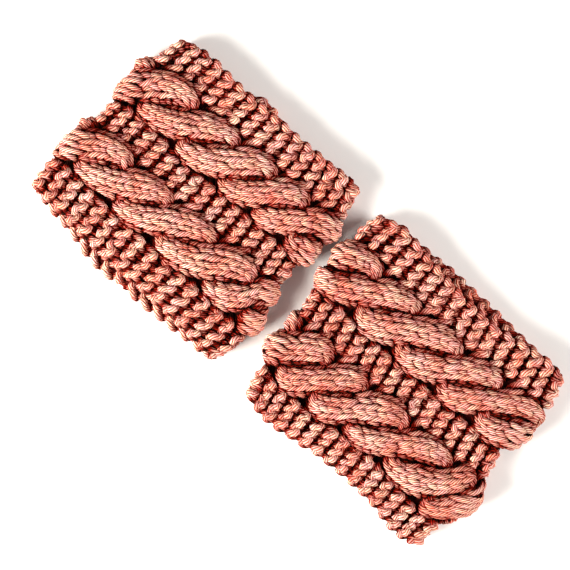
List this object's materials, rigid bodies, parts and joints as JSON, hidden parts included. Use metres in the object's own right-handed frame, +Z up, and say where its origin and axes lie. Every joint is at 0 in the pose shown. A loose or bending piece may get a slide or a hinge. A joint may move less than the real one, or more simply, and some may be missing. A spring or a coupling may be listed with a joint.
{
  "type": "pair of knitted boot cuffs",
  "caption": "Knitted boot cuffs: short tubes of thick wool with rope cables round the leg between garter bands, each sewn at one seam, pressed flat and laid side by side.",
  "frame": {"origin": "on the surface that the pair lies on, in the middle of the pair's footprint", "axes": "+X along the cables, round the leg, from the left cuff to the right one; +Y across each strip, from its low rim to its high rim; +Z up"},
  "size_m": [0.3037, 0.1299, 0.02],
  "materials": {
    "coral_wool": "matt, soft plied wool"
  },
  "bodies": {
    "root": {"left_cuff_strip": "coral_wool", "right_cuff_strip": "coral_wool"}
  },
  "joints": []
}
